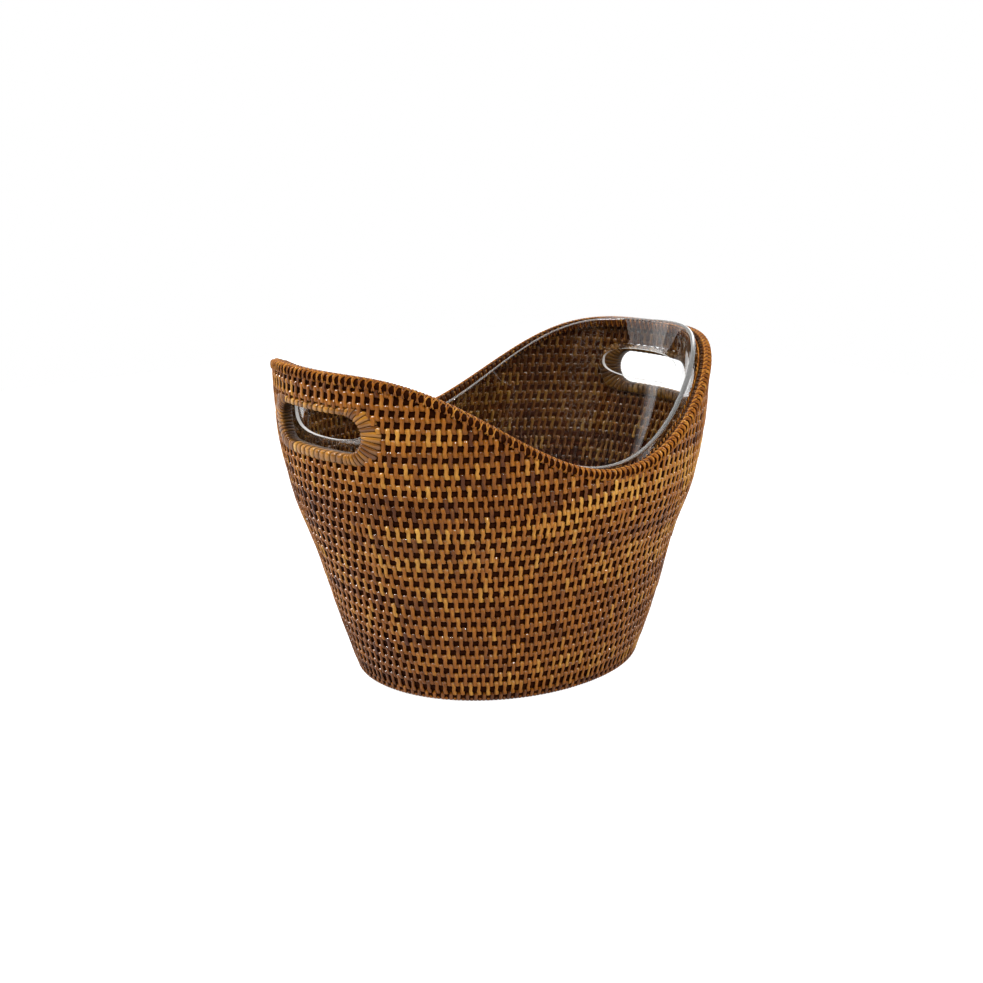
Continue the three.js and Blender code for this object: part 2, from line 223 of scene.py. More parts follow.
CUT_BEVEL = 0.0009
BEVEL_ANGLE = math.radians(55)
SMOOTH_ANGLE = math.radians(40)
SANDED = 0.0013
EDGE_HAZE = 0.5
LIP_HAZE = 0.25

# Looks of the cane. Scales of its grain count per metre across, along and from strand to strand. The
# varnish on the wall is glossier at the upper bend of a float, from this far above its middle.
FIBRE_SCALE = (2600, 90, 700)
BLOTCH_SCALE = (260, 130, 260)
FIBRE_CHANGE = 0.54
BLOTCH_CHANGE = 0.64
# Painted shade: strands darken between these front values towards the back of the wall, and from their middle
# out to their edge.
SHADOW_FROM = 0.2
SHADOW_TO = 0.55
STRAND_MIDDLE = 0.0006
STRAND_EDGE = 0.0018
EDGE_PAINTED_SHADE = 0.6
BEND_FROM = 0.0041
BEND_TO = 0.0045
BUMP_DISTANCE = 0.0002

# Camera, floor and light.
CAMERA_AZIMUTH = math.radians(-42.33)
CAMERA_ELEVATION = math.radians(14.98)
CAMERA_AIM = Vector((0, 0, 0.1109))
CAMERA_DISTANCE = 1.00324
CAMERA_LENS = 52.49
CAMERA_SENSOR = 36
CAMERA_SHIFT = 0.0081
FLOOR_SIZE = 2.4
FLOOR_GREY = 0.6
FLOOR_GLOW = 0.75
AMBIENT_LIGHT = 0.42
ROOM_LIGHT = 0.03
BRIGHT_SIDE = 1.6
BRIGHT_EDGE = -0.12
LAMP_AIM = Vector((0, 0, 0.1))
# For each lamp: how far right, towards the camera and up, its size, its power, and whether it shines up.
LAMPS = {
    "left_soft_box": (-1.25, 0.3, 1.5, 0.6, 33, False),
    "right_soft_box": (0.9, 1.0, 1.25, 0.2, 17, False),
    "left_table_glow": (-2.3, -0.4, 0.01, 2.0, 22, True),
    "right_table_glow": (1.5, 1.4, 0.01, 1.2, 8, True),
    "front_soft_box": (0.3, 1.1, 1.9, 0.9, 9, False),
}


# The basket's surface.

def signed_power(values, power):
    return np.sign(values) * np.abs(values) ** power


def stacked(x, y, z):
    """Triples of numbers from three arrays, spread to one shape."""
    return np.stack(np.broadcast_arrays(x, y, z), axis=-1)


def size_at(sizes, z):
    """A smooth rising curve through the sizes at the six heights."""
    sizes = np.asarray(sizes)
    last = len(sizes) - 1
    step = END_HEIGHT / last
    slopes = np.diff(sizes) / step
    before, after = slopes[:-1], slopes[1:]
    tangents = np.concatenate((slopes[:1], 2 * before * after / (before + after + 1e-12), slopes[-1:]))
    tangents[1:-1][before * after <= 0] = 0
    height = np.clip(z, 0, END_HEIGHT)
    i = np.minimum((height / step).astype(int), last - 1)
    t = height / step - i
    rise = t * t * (3 - 2 * t)
    leave = t * (1 - t) ** 2 * step * tangents[i]
    arrive = t * t * (t - 1) * step * tangents[i + 1]
    return sizes[i] + (sizes[i + 1] - sizes[i]) * rise + leave + arrive


def plan_exponent(z):
    share = np.clip(z / END_HEIGHT, 0, 1)
    return FOOT_PLAN_EXPONENT + (RIM_PLAN_EXPONENT - FOOT_PLAN_EXPONENT) * share


def wall(u, z, inset):
    """Points of the wall at angle u and height z, inset metres in from the outside."""
    u, z, inset = np.broadcast_arrays(np.asarray(u, float), np.asarray(z, float), np.asarray(inset, float))
    power = 2 / plan_exponent(z)
    x = (size_at(HALF_LENGTHS, z) - inset) * signed_power(np.cos(u), power)
    y = (size_at(HALF_WIDTHS, z) - inset) * signed_power(np.sin(u), power)
    return stacked(x, y, z)


def end_wall(side, y, z, inset):
    """Points of an end of the wall that lie at a given y and z."""
    n = plan_exponent(z)
    a = size_at(HALF_LENGTHS, z) - inset
    b = size_at(HALF_WIDTHS, z) - inset
    x = side * a * np.maximum(1 - (np.abs(y) / b) ** n, 0) ** (1 / n)
    return stacked(x, y, z)


def rim_height(u):
    return DIP_HEIGHT + (END_HEIGHT - DIP_HEIGHT) * (1 - np.sin(u) ** 4)


def even_turn(line):
    """Angles, shares of the way round, and the whole way, of a closed line given by the angle."""
    u = np.linspace(0, TURN, TURN_SAMPLES)
    steps = np.linalg.norm(np.diff(line(u), axis=0), axis=1)
    way = np.concatenate(([0], np.cumsum(steps)))
    return u, way / way[-1], way[-1]


TURN_ANGLES, TURN_SHARES, MIDDLE_WAY = even_turn(lambda u: wall(u, MIDDLE_HEIGHT, 0))
RIM_ANGLES, RIM_SHARES, RIM_WAY = even_turn(lambda u: wall(u, rim_height(u), WALL / 2))


def turn_angle(share):
    """The angle at a share of the way round the wall."""
    share = np.asarray(share, float)
    return np.interp(share % 1, TURN_SHARES, TURN_ANGLES) + TURN * np.floor(share)


def columns_in(row):
    """How many strands stand side by side in a row; more are added on the way up."""
    return next(count for last_row, count in COLUMN_COUNTS if row <= last_row)


def crowding(rows, shares):
    """How far round, as a share of the turn, strands stand from even spacing. Strands are added in pairs:
    above such a row the others still line up with the row below, and they even out on the way up."""
    moved = np.zeros(len(rows))
    for (last_row, fewer), (_, more) in zip(COLUMN_COUNTS, COLUMN_COUNTS[1:]):
        pairs = (more - fewer) / 2
        kept = np.clip(1 - EVENED_PER_ROW * (rows - last_row - 1), 0, 1) * (rows > last_row)
        from_middle = shares * pairs - np.rint(shares * pairs)
        crowded = CROWDED_COLUMNS * pairs / more
        to_pair = 0.5 - np.abs(from_middle)
        off = np.minimum(np.abs(from_middle), to_pair * (0.5 - crowded) / crowded)
        moved += kept * 2 * np.sign(from_middle) * off / fewer
    return moved


def row_height(row):
    """The middle of a row of weaving; row 1 stands on the foot hoop."""
    return ROWS_FROM + (np.asarray(row, float) - 0.5) * ROW_PITCH


# Modelling steps.

def deselect_all():
    if bpy.context.object and bpy.context.object.mode != "OBJECT":
        bpy.ops.object.mode_set(mode="OBJECT")
    bpy.ops.object.select_all(action="DESELECT")


def make_active(piece):
    deselect_all()
    piece.select_set(True)
    bpy.context.view_layer.objects.active = piece


def repeat(piece, count, offset, merge=0.0):
    """Repeats a piece in one mesh, each copy one offset further. Copies that touch can be merged."""
    make_active(piece)
    array = piece.modifiers.new("repeats", "ARRAY")
    array.count = count
    array.use_relative_offset = False
    array.use_constant_offset = True
    array.constant_offset_displace = offset
    array.use_merge_vertices = merge > 0
    array.merge_threshold = merge
    bpy.ops.object.modifier_apply(modifier=array.name)


def straight_strip(name, width, thick, length, steps, sides, capped=True, repeats=1):
    """A straight strip along z, extruded from a flat round section, in one or more lengths."""
    deselect_all()
    bpy.ops.mesh.primitive_circle_add(vertices=sides, radius=0.5, fill_type="NOTHING")
    strip = bpy.context.object
    strip.name = name
    bpy.ops.object.mode_set(mode="EDIT")
    bpy.ops.mesh.select_all(action="SELECT")
    bpy.ops.transform.resize(value=(width, thick, 1))
    for _ in range(steps):
        bpy.ops.mesh.extrude_region_move(TRANSFORM_OT_translate={"value": (0, 0, length / steps)})
    bpy.ops.object.mode_set(mode="OBJECT")
    if repeats > 1:
        repeat(strip, repeats, (0, 0, length), merge=length / steps / 100)
    if capped:
        bpy.ops.object.mode_set(mode="EDIT")
        bpy.ops.mesh.select_all(action="SELECT")
        bpy.ops.mesh.fill_holes(sides=0)
        bpy.ops.object.mode_set(mode="OBJECT")
    return strip


def set_out(piece, count):
    """Repeats a piece count times side by side; the mapping then puts each repeat in its place."""
    repeat(piece, count, (WALL, 0, 0))


def copy_of(piece, name):
    made = piece.copy()
    made.data = piece.data.copy()
    made.name = name
    bpy.context.collection.objects.link(made)
    return made


def joined(pieces, name):
    deselect_all()
    for piece in pieces:
        piece.select_set(True)
    bpy.context.view_layer.objects.active = pieces[0]
    bpy.ops.object.join()
    pieces[0].name = name
    return pieces[0]


def points_of(piece):
    flat = np.empty(3 * len(piece.data.vertices))
    piece.data.vertices.foreach_get("co", flat)
    return flat.reshape(-1, 3)


def put_points(piece, points):
    piece.data.vertices.foreach_set("co", np.ascontiguousarray(points, dtype=np.float32).ravel())
    piece.data.update()


def close_and_smooth(piece, merge=1e-6):
    """Merges the seams, turns the faces outwards and smooths the shading."""
    make_active(piece)
    bpy.ops.object.mode_set(mode="EDIT")
    bpy.ops.mesh.select_all(action="SELECT")
    if merge:
        bpy.ops.mesh.remove_doubles(threshold=merge)
    bpy.ops.mesh.normals_make_consistent(inside=False)
    bpy.ops.object.mode_set(mode="OBJECT")
    bpy.ops.object.shade_smooth()


def note(piece, name, kind, key, values):
    """Keeps a number or a vector at each point for the materials to read."""
    values = np.ascontiguousarray(values, dtype=np.float32).ravel()
    piece.data.attributes.new(name, kind, "POINT").data.foreach_set(key, values)


def note_cane(piece, strand, tone, front):
    """Place along the strand, tone of the strand, and 1 outside to 0 at the back of the wall; the
    material paints shade where this is low.
    """
    count = len(piece.data.vertices)
    note(piece, "strand", "FLOAT_VECTOR", "vector", strand)
    note(piece, "tone", "FLOAT", "value", np.broadcast_to(tone, count))
    note(piece, "front", "FLOAT", "value", np.broadcast_to(front, count))


def place(piece, material, node, body="basket"):
    """Gives a piece its material and slot, and sets it on a body in place of a solid."""
    piece.data.materials.clear()
    piece.data.materials.append(material)
    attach(piece, body)
    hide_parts(node)


# Materials.

def new_material(name):
    material = bpy.data.materials.new(name)
    material.use_nodes = True
    return material, material.node_tree, material.node_tree.nodes["Principled BSDF"]


def set_inputs(tree, node, inputs):
    """Gives inputs of a node, by name or number, each a value or the output of another node."""
    for key, value in inputs.items():
        if isinstance(value, bpy.types.NodeSocket):
            tree.links.new(value, node.inputs[key])
        else:
            node.inputs[key].default_value = value


def add_node(tree, kind, inputs, **settings):
    """A shader node with its settings and its inputs."""
    node = tree.nodes.new("ShaderNode" + kind)
    for key, value in settings.items():
        setattr(node, key, value)
    set_inputs(tree, node, inputs)
    return node


def math_of(tree, operation, *values, **settings):
    return add_node(tree, "Math", dict(enumerate(values)), operation=operation, **settings).outputs[0]


def ranged(tree, value, inputs, **settings):
    return add_node(tree, "MapRange", {"Value": value, **inputs}, **settings).outputs["Result"]


def mixed_colour(tree, factor, first, second):
    return add_node(tree, "Mix", {"Factor": factor, 6: first, 7: second}, data_type="RGBA").outputs[2]


def strand_noise(tree, strand, scale, inputs):
    """Noise stretched along the strand."""
    stretched = add_node(tree, "VectorMath", {0: strand, 1: scale}, operation="MULTIPLY").outputs[0]
    return add_node(tree, "TexNoise", {"Vector": stretched, "Scale": 1.0, **inputs}).outputs["Fac"]


def object_noise(tree, scale, detail):
    where = add_node(tree, "TexCoord", {}).outputs["Object"]
    return add_node(tree, "TexNoise", {"Vector": where, "Scale": scale, "Detail": detail}).outputs["Fac"]


def noted(tree, name):
    """What a piece keeps under a name."""
    return add_node(tree, "Attribute", {}, attribute_name=name).outputs


def bumped(tree, height, strength):
    inputs = {"Height": height, "Strength": strength, "Distance": BUMP_DISTANCE}
    return add_node(tree, "Bump", inputs).outputs["Normal"]


def cane_group():
    """Colour, roughness and height of split cane, from the place along the strand and its tone, with
    painted shade towards the back of the wall and towards each strand's edges.
    """
    group = bpy.data.node_groups.new("split_cane", "ShaderNodeTree")
    for name, kind in (("Strand", "Vector"), ("Tone", "Float"), ("Front", "Float"), ("Dark", "Color"),
                       ("Middle", "Color"), ("Light", "Color"), ("Back Shade", "Float")):
        group.interface.new_socket(name, in_out="INPUT", socket_type="NodeSocket" + kind)
    for name, kind in (("Color", "Color"), ("Roughness", "Float"), ("Height", "Float")):
        group.interface.new_socket(name, in_out="OUTPUT", socket_type="NodeSocket" + kind)
    given = group.nodes.new("NodeGroupInput").outputs
    result = group.nodes.new("NodeGroupOutput")

    fibre = strand_noise(group, given["Strand"], FIBRE_SCALE, {"Detail": 3.0, "Roughness": 0.6})
    blotch = strand_noise(group, given["Strand"], BLOTCH_SCALE, {"Detail": 2.0})
    fibre_part = math_of(group, "MULTIPLY_ADD", fibre, FIBRE_CHANGE, -FIBRE_CHANGE / 2)
    blotch_part = math_of(group, "MULTIPLY_ADD", blotch, BLOTCH_CHANGE, -BLOTCH_CHANGE / 2)
    grain = math_of(group, "ADD", fibre_part, blotch_part)
    shade = math_of(group, "ADD", grain, given["Tone"], use_clamp=True)

    low_half = ranged(group, shade, {"From Min": 0.0, "From Max": 0.5})
    high_half = ranged(group, shade, {"From Min": 0.5, "From Max": 1.0})
    lower = mixed_colour(group, low_half, given["Dark"], given["Middle"])
    upper = mixed_colour(group, high_half, lower, given["Light"])

    # Painted shade: the colour drops to Back Shade towards the back of the wall, and darkens towards each
    # strand's edges.
    depth = ranged(group, given["Front"], {
        "From Min": SHADOW_FROM, "From Max": SHADOW_TO, "To Min": given["Back Shade"], "To Max": 1.0,
    }, interpolation_type="SMOOTHSTEP")
    across = add_node(group, "SeparateXYZ", {0: given["Strand"]}).outputs["X"]
    painted_edge_shade = ranged(group, math_of(group, "ABSOLUTE", across), {
        "From Min": STRAND_MIDDLE, "From Max": STRAND_EDGE, "To Min": 1.0, "To Max": EDGE_PAINTED_SHADE})
    shadow = math_of(group, "MULTIPLY", depth, painted_edge_shade)
    colour_with_painted_shade = add_node(group, "VectorMath", {0: upper, "Scale": shadow}, operation="SCALE").outputs[0]
    gloss = ranged(group, fibre, {"To Min": 0.34, "To Max": 0.5})
    set_inputs(group, result, {"Color": colour_with_painted_shade, "Roughness": gloss, "Height": grain})
    return group


def cane_material(name, group, dark, middle, light, back_shade, coat, bend_coat):
    """Varnished split cane."""
    material, tree, shader = new_material(name)
    strand = noted(tree, "strand")["Vector"]
    cane = add_node(tree, "Group", {
        "Strand": strand, "Tone": noted(tree, "tone")["Fac"], "Front": noted(tree, "front")["Fac"],
        "Dark": (*dark, 1), "Middle": (*middle, 1), "Light": (*light, 1), "Back Shade": back_shade,
    }, node_tree=group).outputs
    along = add_node(tree, "SeparateXYZ", {0: strand}).outputs["Y"]
    varnish = ranged(tree, along, {
        "From Min": BEND_FROM, "From Max": BEND_TO, "To Min": coat, "To Max": bend_coat})
    set_inputs(tree, shader, {
        "Base Color": cane["Color"], "Roughness": cane["Roughness"],
        "Normal": bumped(tree, cane["Height"], 0.35), "Specular IOR Level": 0.1,
        "Coat Weight": varnish, "Coat Roughness": 0.025, "Coat IOR": 2.6})
    return material


def rod_material(name, dark, light):
    """Dark rods, seen only between the strands, with a thin uneven varnish; their near-black is partly
    stain and partly painted shade of the recesses.
    """
    material, tree, shader = new_material(name)
    blotch = object_noise(tree, 420.0, 3.0)
    set_inputs(tree, shader, {
        "Base Color": mixed_colour(tree, blotch, (*dark, 1), (*light, 1)),
        "Roughness": ranged(tree, blotch, {"To Min": 0.5, "To Max": 0.75}),
        "Normal": bumped(tree, blotch, 0.3), "Specular IOR Level": 0.03})
    return material


def acrylic_material():
    """Clear acrylic that lets lamps through, with faint marks in its polish and hazy sanded edges."""
    material, tree, shader = new_material("clear_acrylic")
    polish = ranged(tree, object_noise(tree, 60.0, 4.0), {"To Min": 0.0, "To Max": 0.01})
    set_inputs(tree, shader, {
        "Base Color": (0.975, 0.985, 0.99, 1), "Transmission Weight": 1.0, "IOR": 1.49, "Roughness": polish})
    haze = math_of(tree, "MULTIPLY", noted(tree, "edge")["Fac"], EDGE_HAZE)
    sanded = add_node(tree, "BsdfDiffuse", {"Color": (0.84, 0.83, 0.8, 1)})
    body = add_node(tree, "MixShader", {"Fac": haze, 1: shader.outputs["BSDF"], 2: sanded.outputs["BSDF"]})
    path = add_node(tree, "LightPath", {})
    clear = add_node(tree, "BsdfTransparent", {"Color": (0.93, 0.95, 0.96, 1)})
    either = add_node(tree, "MixShader", {
        "Fac": path.outputs["Is Shadow Ray"], 1: body.outputs["Shader"], 2: clear.outputs["BSDF"]})
    set_inputs(tree, tree.nodes["Material Output"], {"Surface": either.outputs["Shader"]})
    return material


CANE = cane_group()
WALL_COLOURS = {
    "dark": (0.075, 0.018, 0.0016), "middle": (0.315, 0.100, 0.007), "light": (0.66, 0.335, 0.058)}
WALL_CANE = cane_material("wall_cane", CANE, **WALL_COLOURS, back_shade=0.18, coat=0.03, bend_coat=1.0)
RIM_CANE = cane_material("rim_cane", CANE, **WALL_COLOURS, back_shade=0.18, coat=0.06, bend_coat=0.06)
WRAP_CANE = cane_material(
    "wrap_cane", CANE, dark=(0.13, 0.040, 0.004), middle=(0.40, 0.165, 0.018),
    light=(0.74, 0.42, 0.080), back_shade=0.17, coat=0.12, bend_coat=0.12)
# The near-black of the rods and cores is partly stain and partly painted shade of the recesses behind the
# strands.
ROD_STAIN_AND_SHADE = rod_material("rod_stain_and_painted_shade", dark=(0.010, 0.0016, 0.0002), light=(0.034, 0.007, 0.0006))
ACRYLIC = acrylic_material()


# Weaving.

def row_tones(rows):
    """A tone for each row and column: runs of one strand along a row, with a little change between."""
    most = COLUMN_COUNTS[-1][1]
    tones = np.zeros((rows, most))
    for row in range(rows):
        column = 0
        start = int(rng.integers(0, most))
        while column < most:
            run = int(rng.integers(RUN_LEAST, RUN_MOST))
            tone = rng.choice(RUN_TONES, p=RUN_CHANCES)
            reached = min(column + run, most)
            tones[row, (start + np.arange(column, reached)) % most] = tone
            column = reached
    return tones + rng.normal(0, TONE_SPREAD, tones.shape)


# Row 0 belongs to the foot, and the last row is spare.
TONES = row_tones(ROW_COUNT + UPPER_ROWS + 2)


def float_strip():
    """One float of cane, straight, 2 long and one column wide. The mapping gives it its size and swing."""
    width = FLOAT_WIDTH / math.cos(math.pi / FLOAT_SIDES)
    return straight_strip("float_strip", width, FLOAT_THICK, 2.0, 2 * len(FLOAT_RINGS) - 2, FLOAT_SIDES)


FLOAT_STRIP = float_strip()


def woven_floats(columns, rows, low, high, face):
    """Floats at the given columns and rows, outside (face 1) or inside (face -1), each from its low to its
    high end, counted from the row's middle. Both ends dip into the rods."""
    unit = points_of(FLOAT_STRIP)
    count, size = len(columns), len(unit)
    floats = copy_of(FLOAT_STRIP, "floats")
    set_out(floats, count)
    width = rng.normal(1, WIDTH_SPREAD, (count, 1))
    lean = FLOAT_LEAN + rng.normal(0, LEAN_SPREAD, (count, 1))
    sway = rng.normal(0, SWAY_SPREAD, (count, 1))
    swing = FLOAT_SWING + rng.normal(0, SWING_SPREAD, (count, 1))
    shift = rng.normal(0, SHIFT_SPREAD, (count, 1))
    thick = unit[None, :, 1]
    evenly = unit[None, :, 2] - 1
    closer = np.sign(evenly) * np.interp(np.abs(evenly), np.linspace(0, 1, len(FLOAT_RINGS)), FLOAT_RINGS)
    along = (low + high)[:, None] / 2 + (high - low)[:, None] / 2 * closer
    reached = np.abs(along) / (FLOAT_REACH * ROW_PITCH)
    flare = np.clip((reached - FLARE_FROM) / (FLARE_TO - FLARE_FROM), 0, 1)
    across = unit[None, :, 0] * width * (1 + FLOAT_FLARE * flare)
    phase = math.pi * along / ROW_PITCH
    wave = np.tanh(FLOAT_SQUARENESS * (np.cos(phase) + FLOAT_LONGER))
    slope = -swing * FLOAT_SQUARENESS * math.pi / ROW_PITCH * (1 - wave ** 2) * np.sin(phase)
    tilt = 1 / np.sqrt(1 + slope ** 2)
    depth = face * (swing * wave + thick * tilt)
    z = row_height(rows)[:, None] + along + shift - thick * slope * tilt
    counts = np.array([columns_in(row) for row in rows])[:, None]
    leaning = face * lean * along * (1 - flare) * counts / MIDDLE_WAY
    column = columns[:, None] + sway + across + leaning
    share = column / counts + crowding(rows, columns / counts[:, 0])[:, None]
    put_points(floats, wall(turn_angle(share), z, WEAVE_MIDDLE - depth))
    tone = TONES[rows.astype(int), columns.astype(int) % counts[:, 0]]
    # Painted shade: this front value darkens the floats where they dip behind the rods and on the inside of
    # the wall.
    front = 0.5 + depth / (2 * (FLOAT_SWING + FLOAT_THICK))
    apart = rng.uniform(0, FLOAT_GRAIN_RANGE, (count, 1))
    close_and_smooth(floats, merge=0)
    strand = stacked(across * MIDDLE_WAY / counts, along, apart)
    note_cane(floats, strand, np.repeat(tone, size), front.ravel())
    return floats


def squared(values, half):
    """Pushes a round section out towards a rounded box."""
    return half * signed_power(values / half, ROD_SQUARENESS)


def rod(name, row, first, last):
    """A stiff rod of one row between two shares of the way round; a full turn is closed on itself."""
    whole = last - first >= 1
    steps = max(int((last - first) * ROUND_STEPS), ROD_LEAST_STEPS)
    piece = straight_strip(name, ROD_DEPTH, ROD_HEIGHT, 1.0, steps, ROD_SIDES, capped=not whole)
    unit = points_of(piece)
    u = turn_angle(first + (last - first) * unit[:, 2])
    z = row_height(row) + squared(unit[:, 1], ROD_HEIGHT / 2)
    z = np.minimum(z, rim_height(u) - RIM_TUCK)
    put_points(piece, wall(u, z, WEAVE_MIDDLE - squared(unit[:, 0], ROD_DEPTH / 2)))
    close_and_smooth(piece)
    return piece


def full_rows():
    """The rows that run all the way round, each a rod with its floats."""
    for row in range(1, ROW_COUNT + 1):
        node = "wall_row_%02d" % row
        faces = []
        for face in (1, -1):
            columns = np.arange((row + (face < 0)) % 2, columns_in(row), 2).astype(float)
            reach = np.full(len(columns), FLOAT_REACH * ROW_PITCH)
            faces.append(woven_floats(columns, np.full(len(columns), row), -reach, reach, face))
        place(joined(faces, "row_%02d_floats" % row), WALL_CANE, node)
        place(rod("row_%02d_rod" % row, row, 0, 1), ROD_STAIN_AND_SHADE, node)


def hole_half_height(side, y, above):
    """Half the height of the handle hole at y, out to the far edge of the band above or below it."""
    past = np.maximum(np.abs(y - SLOT_SHIFTS[side]) - SLOT_STRAIGHT, 0)
    straight = BAND_EDGE + np.where(above, TOP_BAND, LOW_BAND)
    return straight * np.sqrt(np.maximum(1 - (past / (BAND_EDGE + FAN_BAND)) ** 2, 0))


def raised_floats(side, face):
    """Floats of one face of a raised end, cut off under the rim and behind the band of the handle hole."""
    kept = []
    reach = FLOAT_REACH * ROW_PITCH
    for row in range(ROW_COUNT + 1, ROW_COUNT + UPPER_ROWS + 1):
        z = float(row_height(row))
        count = columns_in(row)
        middle = 0 if side > 0 else count // 2
        for column in range(middle - count // 4, middle + count // 4 + 1):
            if (column + row + (face < 0)) % 2:
                continue
            u = turn_angle(column / count)
            y = wall(u, z, 0)[1]
            half = float(hole_half_height(side, y, z >= SLOT_HEIGHT))
            low, high = -reach, min(reach, float(rim_height(u)) - RIM_TUCK - z)
            if half > 0 and z >= SLOT_HEIGHT:
                low = max(low, SLOT_HEIGHT + half - z)
            elif half > 0:
                high = min(high, SLOT_HEIGHT - half - z)
            if high - low > FLOAT_LEAST * 2 * reach:
                kept.append((column, row, low, high))
    columns, rows, low, high = np.array(kept, float).T
    return woven_floats(columns, rows, low, high, face)


def raised_rods(side, word):
    """Rods of the raised end, cut off along the rim and stopping at the band of the handle hole."""
    middle = 0 if side > 0 else 0.5
    shares = np.linspace(middle - 0.25, middle + 0.25, 2 * ROUND_STEPS + 1)
    u = turn_angle(shares)
    rods = []
    for row in range(ROW_COUNT + 1, ROW_COUNT + UPPER_ROWS + 1):
        z = float(row_height(row))
        inside = rim_height(u) - RIM_TUCK > z - ROD_HEIGHT / 2
        inside &= np.abs(z - SLOT_HEIGHT) > hole_half_height(side, wall(u, z, 0)[:, 1], z >= SLOT_HEIGHT)
        edges = np.flatnonzero(np.diff(np.concatenate(([0], inside.astype(int), [0]))))
        for start, stop in zip(edges[::2], edges[1::2]):
            if stop - start >= ROD_LEAST_STEPS:
                rods.append(rod("raised_end_rod", row, shares[start], shares[stop - 1]))
    return joined(rods, "raised_end_%s_rods" % word)


def raised_end(side, word):
    floats = joined([raised_floats(side, face) for face in (1, -1)], "raised_end_%s_floats" % word)
    place(floats, WALL_CANE, "raised_end_" + word)
    place(raised_rods(side, word), ROD_STAIN_AND_SHADE, "raised_end_" + word)


# Foot and floor.

def foot():
    """The foot rod, and the loops of cane that come round it from the first row."""
    half_wide, half_tall = FOOT_WIDTH / 2 - FOOT_ROD_IN, FOOT_HEIGHT / 2 - FOOT_ROD_LOW
    rod_piece = straight_strip("foot_rod", 2 * half_wide, 2 * half_tall, 1.0, ROUND_STEPS, FOOT_ROD_SIDES,
                               capped=False)
    unit = points_of(rod_piece)
    put_points(rod_piece, wall(turn_angle(unit[:, 2]), FOOT_HEIGHT / 2 + squared(unit[:, 1], half_tall),
                               FOOT_WIDTH / 2 - squared(unit[:, 0], half_wide)))
    close_and_smooth(rod_piece)
    place(rod_piece, ROD_STAIN_AND_SHADE, "base_hoop")
    loops = joined([foot_loops(parity, top) for parity, top in enumerate(FOOT_LOOP_TOPS)], "foot_loops")
    place(loops, RIM_CANE, "base_hoop")


def foot_loops(parity, top):
    """Loops at every other column, from a height on the outside down round the corner and in below."""
    drop = np.linspace(top, FOOT_CORNER + FOOT_LOOP_LOW, 6)
    bend = np.linspace(0, math.pi / 2, 4)[1:]
    below = np.linspace(0, 1, 4)[1:]
    outside = WEAVE_MIDDLE - FLOAT_SWING
    dive = np.clip((drop - top) / FOOT_LOOP_DIVE + 1, 0, 1)
    path_inset = np.concatenate((outside + 2 * FLOAT_SWING * dive ** 2,
                                 outside + FOOT_CORNER * (1 - np.cos(bend)),
                                 outside + FOOT_CORNER + below * (FOOT_WIDTH - outside - FOOT_CORNER)))
    path_height = np.concatenate((drop, FOOT_LOOP_LOW + FOOT_CORNER * (1 - np.sin(bend)),
                                  np.full(len(below), FOOT_LOOP_LOW)))
    ahead_inset, ahead_height = np.gradient(path_inset), np.gradient(path_height)
    length = np.hypot(ahead_inset, ahead_height)

    count = columns_in(1)
    width = FOOT_LOOP_WIDTH / math.cos(math.pi / FLOAT_SIDES)
    last = len(path_inset) - 1
    loops = straight_strip("loops", width, FLOAT_THICK, 1.0, last, FLOAT_SIDES)
    unit = points_of(loops)
    step = np.rint(unit[:, 2] * last).astype(int)
    inset = path_inset[step] + unit[:, 1] * ahead_height[step] / length[step]
    z = path_height[step] - unit[:, 1] * ahead_inset[step] / length[step]
    columns = np.arange(parity, count, 2)[:, None]
    set_out(loops, len(columns))
    lean = FLOAT_LEAN * (path_height[step] - row_height(0)) * count / MIDDLE_WAY
    column = columns + unit[None, :, 0] + lean + rng.normal(0, SWAY_SPREAD, (len(columns), 1))
    put_points(loops, wall(turn_angle(column / count), z, inset))
    close_and_smooth(loops, merge=0)
    tone = np.repeat(TONES[0, columns[:, 0]] - FOOT_LOOP_DARKER, len(unit))
    strand = stacked(unit[:, 0] * MIDDLE_WAY / count, FOOT_LOOP_GRAIN * unit[:, 2], columns * FOOT_GRAIN_STEP)
    note_cane(loops, strand, tone, 1)
    return loops


def floor_strips(name, lengthwise):
    """Flat strips of the plain woven floor, one way, each cut to the oval of the foot."""
    half_length = HALF_LENGTHS[0] - FOOT_WIDTH + FLOOR_MARGIN - FLOOR_PLAY
    half_width = HALF_WIDTHS[0] - FOOT_WIDTH + FLOOR_MARGIN - FLOOR_PLAY
    long_half, cross_half = (half_length, half_width) if lengthwise else (half_width, half_length)
    count = int(2 * cross_half / FLOOR_STRIP_PITCH)
    strips = straight_strip(name, FLOOR_STRIP_WIDTH, FLOOR_STRIP_THICK, 1.0, FLOOR_STRIP_STEPS,
                            FLOOR_STRIP_SIDES)
    unit = points_of(strips)
    set_out(strips, count)
    number = np.arange(count)[:, None]
    offset = (number - (count - 1) / 2) * FLOOR_STRIP_PITCH
    chord = long_half * np.sqrt(np.maximum(1 - (offset / cross_half) ** 2, FLOOR_STRIP_LEAST))
    along = (2 * unit[None, :, 2] - 1) * chord
    across = offset + unit[None, :, 0]
    phase = math.pi * (along / FLOOR_STRIP_PITCH + number) + (0 if lengthwise else math.pi)
    z = (FLOOR_LOW + FLOOR_HIGH) / 2 + FLOOR_SWING * np.cos(phase) + unit[None, :, 1]
    x, y = (along, across) if lengthwise else (across, along)
    put_points(strips, stacked(x, y, z))
    close_and_smooth(strips, merge=0)
    tone = np.repeat(rng.uniform(*FLOOR_TONES, count), len(unit))
    note_cane(strips, stacked(unit[None, :, 0], along, number * FLOOR_GRAIN_STEP), tone, 1)
    place(strips, RIM_CANE, "base_floor")


# Rim.

